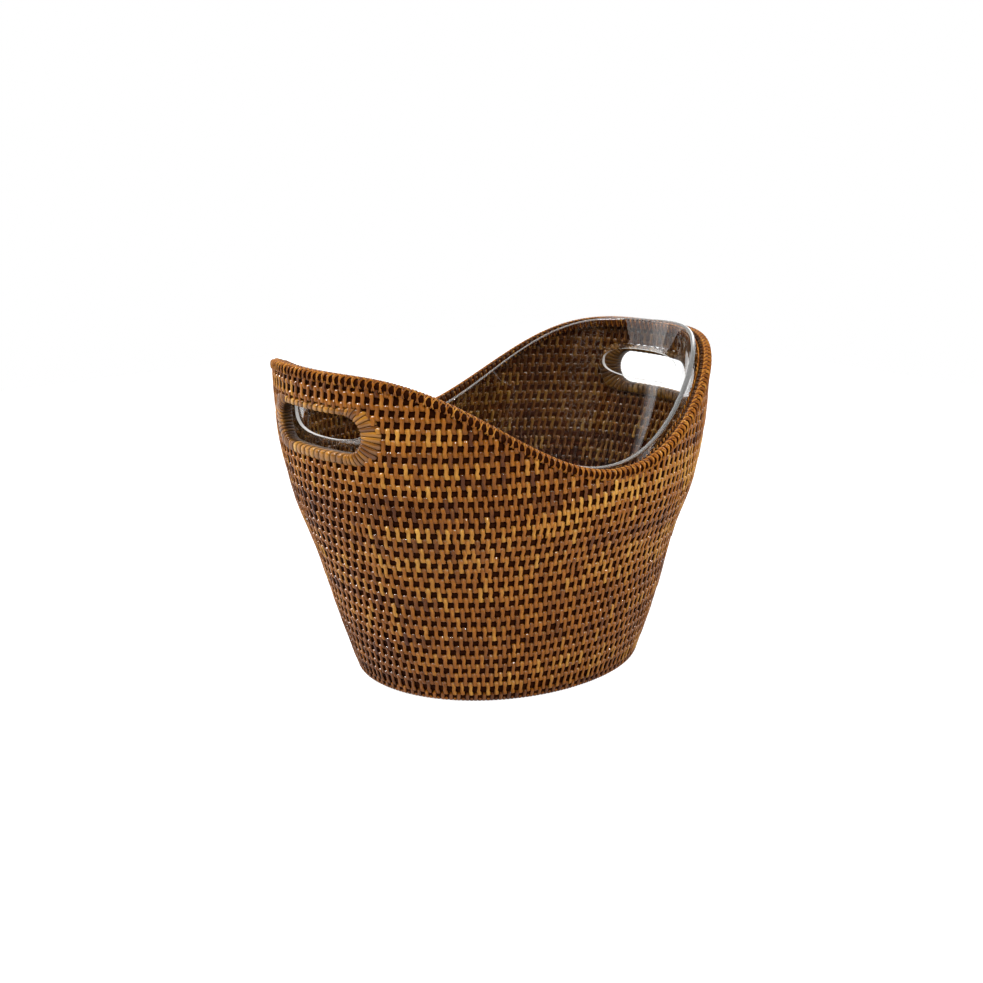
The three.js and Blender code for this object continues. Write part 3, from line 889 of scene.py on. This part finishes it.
def rim_point(share, inset, drop):
    """A place on the rim: its share of the way round, how far in, and its height over the top."""
    u = np.interp(share % 1, RIM_SHARES, RIM_ANGLES) + TURN * np.floor(share)
    top = rim_height(u)
    points = wall(u, top - RIM_HEIGHT / 2, inset)
    points[..., 2] = top + drop
    return points


def wound_bars(name, inset_middle, drop_middle, half_wide, half_tall, lean=0.0):
    """One flat strip of cane wound along the rim with open gaps, so that it shows as leaning bars."""
    strip = straight_strip(name, BAR_WIDTH, BAR_THICK, RIM_WAY / BAR_TURNS, BAR_STEPS, BAR_SIDES,
                           capped=False, repeats=BAR_TURNS)
    unit = points_of(strip)
    turn = TURN * unit[:, 2] * BAR_TURNS / RIM_WAY
    cosine, sine = np.cos(turn), np.sin(turn)
    out = half_wide - BAR_THICK / 2 + unit[:, 1]
    rise = half_tall - BAR_THICK / 2 + unit[:, 1]
    inset = inset_middle - out * signed_power(cosine, BAR_ROUNDING)
    drop = drop_middle + rise * signed_power(sine, BAR_ROUNDING)
    put_points(strip, rim_point((unit[:, 2] + unit[:, 0] + lean * sine) / RIM_WAY, inset, drop))
    loop = np.floor(unit[:, 2] * BAR_TURNS / RIM_WAY + 0.5).astype(int)
    tones = rng.uniform(*BAR_TONES, BAR_TURNS + 2)
    strand = stacked(unit[:, 0], unit[:, 2] * BAR_STRETCH, loop * BAR_GRAIN_STEP)
    # Painted shade: the inner half of each bar's turn gets a low front value and is darkened.
    note_cane(strip, strand, tones[loop], 0.5 + 0.5 * cosine)
    close_and_smooth(strip, merge=COIL_SEAM)
    return strip


def crown_rope():
    """Two plies, one light and one dark, twisted along the crown of the rim."""
    plies = []
    length = RIM_WAY / BAR_TURNS
    for ply, tone in enumerate(ROPE_TONES):
        strand = straight_strip("crown_ply", ROPE_PLY, ROPE_PLY, length, ROPE_STEPS, ROPE_SIDES, capped=False,
                                repeats=BAR_TURNS)
        unit = points_of(strand)
        phase = TURN * (unit[:, 2] / length + ply / 2)
        inset = WALL / 2 + ROPE_REACH * np.cos(phase) + unit[:, 0]
        drop = -ROPE_PLY / 2 + ROPE_LIFT * np.sin(phase) + unit[:, 1]
        put_points(strand, rim_point(unit[:, 2] / RIM_WAY, inset, drop))
        note_cane(strand, stacked(unit[:, 0], unit[:, 2], ply * ROPE_GRAIN_STEP), tone, 1)
        close_and_smooth(strand, merge=COIL_SEAM)
        plies.append(strand)
    return joined(plies, "rim_crown_rope")


def ledge_core():
    """The dark strip inside the rim that the ledge's cane is wound on."""
    core = straight_strip("rim_ledge_core", LEDGE_THICK - 2 * BAR_THICK + LEDGE_FILLING,
                          LEDGE_HEIGHT - 2 * BAR_THICK, 1.0, ROUND_STEPS, CORE_SIDES, capped=False)
    unit = points_of(core)
    drop = -LEDGE_DROP - LEDGE_HEIGHT / 2 + unit[:, 1]
    put_points(core, rim_point(unit[:, 2], LEDGE_INSET + unit[:, 0], drop))
    close_and_smooth(core)
    return core


def bar_core():
    """The dark filling inside the rim's bars."""
    half_wide = WALL / 2 + RIM_OVERHANG - BAR_THICK - CORE_PLAY
    half_tall = RIM_HEIGHT / 2 - BAR_THICK - CORE_PLAY
    core = straight_strip("rim_bar_core", 2 * half_wide, 2 * half_tall, 1.0, ROUND_STEPS, CORE_SIDES,
                          capped=False)
    unit = points_of(core)
    put_points(core, rim_point(unit[:, 2], WALL / 2 + squared(unit[:, 0], half_wide),
                               -RIM_HEIGHT / 2 + squared(unit[:, 1], half_tall)))
    close_and_smooth(core)
    return core


def rim():
    place(bar_core(), ROD_STAIN_AND_SHADE, "rim_braid")
    for name, lean in zip(("rim_bars", "rim_crossing_bars"), BAR_LEANS):
        bars = wound_bars(name, WALL / 2, -RIM_HEIGHT / 2, WALL / 2 + RIM_OVERHANG, RIM_HEIGHT / 2, lean)
        place(bars, RIM_CANE, "rim_braid")
    place(crown_rope(), RIM_CANE, "rim_braid")
    place(ledge_core(), ROD_STAIN_AND_SHADE, "rim_ledge")
    ledge = wound_bars("rim_ledge_bars", LEDGE_INSET, -LEDGE_DROP - LEDGE_HEIGHT / 2, LEDGE_THICK / 2,
                       LEDGE_HEIGHT / 2)
    place(ledge, RIM_CANE, "rim_ledge")


# Handles.

def band_width(angle):
    """The band is narrow along the top and bottom of the hole and broad round its ends."""
    straight = np.where(np.sin(angle) > 0, TOP_BAND, LOW_BAND)
    return FAN_BAND + (straight - FAN_BAND) * np.sin(angle) ** 4


def border_point(side, share, across, lift, inset):
    """A place on the hole's border: its share of the way round, how far across the band from -1 at the hole
    to 1, how far it is lifted off the band's edges, and its inset from the outside of the wall."""
    arc = math.pi * BAND_RADIUS
    straight = 2 * SLOT_STRAIGHT
    way = (share % 1) * BORDER_WAY
    first_arc = (way >= straight) & (way < straight + arc)
    bottom = (way >= straight + arc) & (way < 2 * straight + arc)
    second_arc = way >= 2 * straight + arc
    y = np.select([first_arc, bottom, second_arc],
                  [np.full_like(way, SLOT_STRAIGHT), SLOT_STRAIGHT + straight + arc - way,
                   np.full_like(way, -SLOT_STRAIGHT)], way - SLOT_STRAIGHT)
    angle = np.select([first_arc, bottom, second_arc],
                      [math.pi / 2 - (way - straight) / BAND_RADIUS, np.full_like(way, -math.pi / 2),
                       -math.pi / 2 - (way - 2 * straight - arc) / BAND_RADIUS],
                      np.full_like(way, math.pi / 2))
    half = band_width(angle) / 2
    reach = BAND_EDGE + half + (half + lift) * across
    y = y + SLOT_SHIFTS[side] + reach * np.cos(angle)
    return end_wall(side, y, SLOT_HEIGHT + reach * np.sin(angle), inset)


def band(side, word):
    """The dark band under the winding."""
    piece = straight_strip("handle_band_%s_core" % word, 2.0, BAND_THICK, 1.0, ROUND_STEPS, CORE_SIDES,
                           capped=False)
    unit = points_of(piece)
    put_points(piece, border_point(side, unit[:, 2], squared(unit[:, 0], 1.0), 0,
                                   BAND_MIDDLE + squared(unit[:, 1], BAND_THICK / 2)))
    close_and_smooth(piece)
    place(piece, ROD_STAIN_AND_SHADE, "handle_band_" + word)


def winding(side, word):
    """One unbroken strip of cane wound round the band of a handle hole, with narrower turns at its ends."""
    arc = math.pi * BAND_RADIUS / BORDER_WAY
    straight = 2 * SLOT_STRAIGHT / BORDER_WAY
    turns_at = np.cumsum((0, TOP_TURNS, FAN_TURNS, LOW_TURNS, FAN_TURNS))
    share_at = np.cumsum((0, straight, arc, straight, arc))
    count = int(turns_at[-1])
    strip = straight_strip("handle_wrap_%s_winding" % word, 1.0, WRAP_THICK, 1.0, WRAP_STEPS, WRAP_SIDES,
                           capped=False, repeats=count)
    unit = points_of(strip)
    turn = TURN * unit[:, 2]
    crown = 1 - WRAP_CROWN * (2 * unit[:, 0]) ** 2
    lift = WRAP_GAP / 2 + WRAP_THICK / 2 + unit[:, 1] * (WRAP_EDGE + (1 - WRAP_EDGE) * crown)
    cosine, sine = np.cos(turn), np.sin(turn)
    across = signed_power(cosine, WRAP_ROUNDING)
    inset = BAND_MIDDLE - (BAND_THICK / 2 + lift) * signed_power(sine, WRAP_ROUNDING)
    middle = np.interp(unit[:, 2], turns_at, share_at)
    sections = np.column_stack((turns_at[:-1] + 0.5, turns_at[1:] - 0.5)).ravel()
    width = np.interp(unit[:, 2], sections, np.repeat((TOP_WRAP, FAN_WRAP, LOW_WRAP, FAN_WRAP), 2))
    share = middle + unit[:, 0] * width / BORDER_WAY
    put_points(strip, border_point(side, share, across, lift, inset))
    loop = np.floor(unit[:, 2] + 0.25).astype(int)
    tones = rng.uniform(*WRAP_TONES, count + 2)
    fan = (loop > TOP_TURNS) & (loop <= TOP_TURNS + FAN_TURNS) | (loop > count - FAN_TURNS)
    along = unit[:, 2] * TURN * (FAN_BAND + BAND_THICK) / 4
    # Painted shade: the turns darken inside the wall and through the hole, and the fan turns also on the side
    # facing the hole.
    front = WRAP_FRONT + WRAP_FRONT_SWING * sine + FAN_SHADE * fan * np.minimum(cosine, 0)
    strand = stacked(unit[:, 0] * width, along, loop * WRAP_GRAIN_STEP)
    note_cane(strip, strand, tones[loop] - FAN_DARKER * fan, front)
    close_and_smooth(strip, merge=COIL_SEAM)
    place(strip, WRAP_CANE, "handle_wrap_" + word)


# Liner.

def lip_height(u):
    """The lip slants: it lies below the rim on most sides, and rises above it on its high side."""
    toward = (1 + np.cos(u - LIP_HIGH_SIDE)) / 2
    return LIP_DIP + (LIP_END - LIP_DIP) * (1 - np.sin(u) ** 4) - LIP_DROP + LIP_RISE * toward ** 3


def liner_profile():
    """Rings from the middle of the underside, up the outside, over the lip and down to the inside floor.
    Each has a height, a share of the way from there up to the lip, and an inset. Without a share it stays
    at its height, and a ring of the lip counts its height from there."""
    lift = np.linspace(0, 1, 15)[1:-1]
    low = LINER_LOW + LINER_ROUND
    inside = LINER_INSET + LINER_THIN
    inside_low = LINER_LOW + LINER_FLOOR + LINER_ROUND
    lip_radius = LINER_WALL / 2
    bend = [(LINER_ROUND * math.cos(turn), LINER_ROUND * (1 - math.sin(turn)))
            for turn in np.linspace(0, math.pi / 2, 6)]
    rings = [(low - drop, None, LINER_INSET + draw) for drop, draw in bend]
    rings += [(low, share, LINER_INSET) for share in lift]
    for turn in np.linspace(0, math.pi, 9):
        across = lip_radius * (1 - math.cos(turn))
        rings.append((lip_radius * (math.sin(turn) - 1), "lip", LINER_INSET + across))
    rings += [(inside_low, share, inside) for share in lift[::-1]]
    rings += [(inside_low - drop, None, inside + draw) for drop, draw in bend[::-1]]
    return rings


def liner():
    """The clear bucket, with a rounded lip and a cut-out behind each handle hole."""
    rings = liner_profile()
    deselect_all()
    bpy.ops.mesh.primitive_circle_add(vertices=LINER_STEPS, radius=HALF_LENGTHS[0], fill_type="NOTHING")
    piece = bpy.context.object
    piece.name = "clear_liner"
    bpy.ops.object.mode_set(mode="EDIT")
    bpy.ops.mesh.select_all(action="SELECT")
    for _ in rings[1:]:
        bpy.ops.mesh.extrude_region_move(TRANSFORM_OT_translate={"value": (0, 0, ROW_PITCH)})
    bpy.ops.mesh.select_all(action="SELECT")
    bpy.ops.mesh.fill_holes(sides=0)
    bpy.ops.object.mode_set(mode="OBJECT")
    unit = points_of(piece)
    ring = np.rint(unit[:, 2] / ROW_PITCH).astype(int)
    u = np.arctan2(unit[:, 1], unit[:, 0])
    top = lip_height(u) - LINER_WALL / 2
    z, inset = np.zeros(len(unit)), np.zeros(len(unit))
    for number, (height, share, ring_inset) in enumerate(rings):
        here = ring == number
        inset[here] = ring_inset
        if share is None:
            z[here] = height
        elif share == "lip":
            z[here] = lip_height(u[here]) + height
        else:
            z[here] = height + (top[here] - height) * share
    put_points(piece, wall(u, z, inset))
    close_and_smooth(piece, merge=0)
    cut_handles(piece)
    note_edges(piece)
    place(piece, ACRYLIC, "liner", body="liner")


def cut_handles(piece):
    """Cuts the two openings with one bar, then rounds their edges."""
    deselect_all()
    bpy.ops.mesh.primitive_circle_add(vertices=CUT_SIDES, radius=1, fill_type="NGON")
    bar = bpy.context.object
    bpy.ops.object.mode_set(mode="EDIT")
    bpy.ops.mesh.select_all(action="SELECT")
    bpy.ops.mesh.extrude_region_move(TRANSFORM_OT_translate={"value": (0, 0, 2 * CUT_REACH)})
    bpy.ops.object.mode_set(mode="OBJECT")
    section = points_of(bar)
    bowed = signed_power(section, 2 / CUT_EXPONENT)
    put_points(bar, stacked(section[:, 2] - CUT_REACH, CUT_HALF_LENGTH * bowed[:, 0],
                            CUT_HEIGHT + CUT_HALF_HEIGHT * bowed[:, 1]))
    close_and_smooth(bar, merge=0)
    make_active(piece)
    cut = piece.modifiers.new("cut_outs", "BOOLEAN")
    cut.operation = "DIFFERENCE"
    cut.solver = "EXACT"
    cut.object = bar
    bpy.ops.object.modifier_apply(modifier=cut.name)
    bpy.data.objects.remove(bar)
    bevel = piece.modifiers.new("soft_edges", "BEVEL")
    bevel.limit_method = "ANGLE"
    bevel.angle_limit = BEVEL_ANGLE
    bevel.width = CUT_BEVEL
    bevel.segments = 2
    bpy.ops.object.modifier_apply(modifier=bevel.name)
    bpy.ops.object.shade_smooth_by_angle(angle=SMOOTH_ANGLE)
    even = piece.modifiers.new("even_normals", "WEIGHTED_NORMAL")
    even.weight = 100
    even.keep_sharp = True
    bpy.ops.object.modifier_apply(modifier=even.name)


def note_edges(piece):
    """Marks the faces of the lip and round the cut-outs, which are sanded."""
    x, y, z = points_of(piece).T
    power = plan_exponent(z) / 2
    a = size_at(HALF_LENGTHS, z) - LINER_INSET - LINER_WALL / 2
    b = size_at(HALF_WIDTHS, z) - LINER_INSET - LINER_WALL / 2
    u = np.arctan2(signed_power(y / b, power), signed_power(x / a, power))
    lip = z > lip_height(u) - LINER_WALL * LIP_SANDED
    across, tall = np.abs(y) / CUT_HALF_LENGTH, np.abs(z - CUT_HEIGHT) / CUT_HALF_HEIGHT
    off_middle = (across ** CUT_EXPONENT + tall ** CUT_EXPONENT) ** (1 / CUT_EXPONENT)
    cut = np.abs(off_middle - 1) * np.hypot(y, z - CUT_HEIGHT) < SANDED
    cut &= np.abs(x) > HALF_LENGTHS[0]
    haze = []
    for face in piece.data.polygons:
        corners = list(face.vertices)
        haze.append(1.0 if cut[corners].all() else LIP_HAZE * lip[corners].all())
    piece.data.attributes.new("edge", "FLOAT", "FACE").data.foreach_set("value", haze)


# Stage.

def camera():
    """Sets the camera, and gives the direction back towards it."""
    back = Vector((math.sin(CAMERA_AZIMUTH) * math.cos(CAMERA_ELEVATION),
                   -math.cos(CAMERA_AZIMUTH) * math.cos(CAMERA_ELEVATION), math.sin(CAMERA_ELEVATION)))
    data = bpy.data.cameras.new("photo_camera")
    data.sensor_width = CAMERA_SENSOR
    data.lens = CAMERA_LENS
    data.shift_x = -CAMERA_SHIFT
    data.shift_y = CAMERA_SHIFT
    made = bpy.data.objects.new("photo_camera", data)
    bpy.context.collection.objects.link(made)
    made.location = CAMERA_AIM + back * CAMERA_DISTANCE
    made.rotation_mode = "QUATERNION"
    made.rotation_quaternion = (-back).to_track_quat("-Z", "Y")
    bpy.context.scene.camera = made
    return back


def backdrop(toward):
    """White where the camera sees it straight or through the liner. Mirrored, it is bright behind the
    basket and dim on the camera's side, and elsewhere it is an even soft light."""
    bpy.context.scene.view_settings.view_transform = "Standard"
    world = bpy.data.worlds.new("white_studio")
    bpy.context.scene.world = world
    world.use_nodes = True
    tree = world.node_tree
    where = add_node(tree, "TexCoord", {}).outputs["Generated"]
    facing = add_node(tree, "VectorMath", {0: where, 1: toward}, operation="DOT_PRODUCT").outputs["Value"]
    room = ranged(tree, facing, {
        "From Min": BRIGHT_EDGE, "From Max": 0.0, "To Min": BRIGHT_SIDE, "To Max": ROOM_LIGHT})
    ray = add_node(tree, "LightPath", {}).outputs
    straight = math_of(tree, "LESS_THAN", ray["Glossy Depth"], 0.5)
    through = math_of(tree, "MULTIPLY", ray["Is Transmission Ray"], straight)
    direct = math_of(tree, "MAXIMUM", ray["Is Camera Ray"], through)
    bounced = math_of(tree, "MAXIMUM", ray["Is Glossy Ray"], ray["Is Transmission Ray"])
    mirrored = add_node(tree, "Mix", {"Factor": bounced, "A": AMBIENT_LIGHT, "B": room}).outputs["Result"]
    strength = math_of(tree, "MAXIMUM", direct, mirrored)
    set_inputs(tree, tree.nodes["Background"], {"Strength": strength, "Color": (1, 1, 1, 1)})


def white_floor():
    """A floor that glows for what the camera sees, directly, in a reflection or through the liner."""
    deselect_all()
    bpy.ops.mesh.primitive_plane_add(size=FLOOR_SIZE)
    ground = bpy.context.object
    ground.name = "floor"
    material, tree, shader = new_material("pale_floor")
    ray = add_node(tree, "LightPath", {}).outputs
    seen = math_of(tree, "MAXIMUM", ray["Is Camera Ray"], ray["Is Glossy Ray"])
    seen = math_of(tree, "MAXIMUM", seen, ray["Is Transmission Ray"])
    set_inputs(tree, shader, {
        "Base Color": (FLOOR_GREY, FLOOR_GREY, FLOOR_GREY, 1), "Roughness": 0.9,
        "Emission Color": (1, 1, 1, 1), "Emission Strength": math_of(tree, "MULTIPLY", seen, FLOOR_GLOW)})
    ground.data.materials.append(material)


def studio(back):
    right = Vector((-back.y, back.x, 0)).normalized()
    level = Vector((back.x, back.y, 0)).normalized()
    up = Vector((0, 0, 1))
    backdrop(level)
    white_floor()
    for name, (sideways, nearer, height, size, power, shines_up) in LAMPS.items():
        data = bpy.data.lights.new(name, "AREA")
        data.shape = "DISK"
        data.size = size
        data.energy = power
        lamp = bpy.data.objects.new(name, data)
        bpy.context.collection.objects.link(lamp)
        lamp.location = right * sideways + level * nearer + up * height
        lamp.rotation_mode = "QUATERNION"
        way = up if shines_up else LAMP_AIM - lamp.location
        lamp.rotation_quaternion = way.to_track_quat("-Z", "Y")


SIDES = ((-1, "left"), (1, "right"))
full_rows()
for end_side, end_word in SIDES:
    raised_end(end_side, end_word)
foot()
floor_strips("floor_long_strips", lengthwise=True)
floor_strips("floor_cross_strips", lengthwise=False)
rim()
for end_side, end_word in SIDES:
    band(end_side, end_word)
    winding(end_side, end_word)
liner()
bpy.data.objects.remove(FLOAT_STRIP)
# The rim core takes the same near-black, partly stain and partly painted shade.
rim_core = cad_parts["rim_core"]
rim_core.data.materials.clear()
rim_core.data.materials.append(ROD_STAIN_AND_SHADE)
studio(camera())
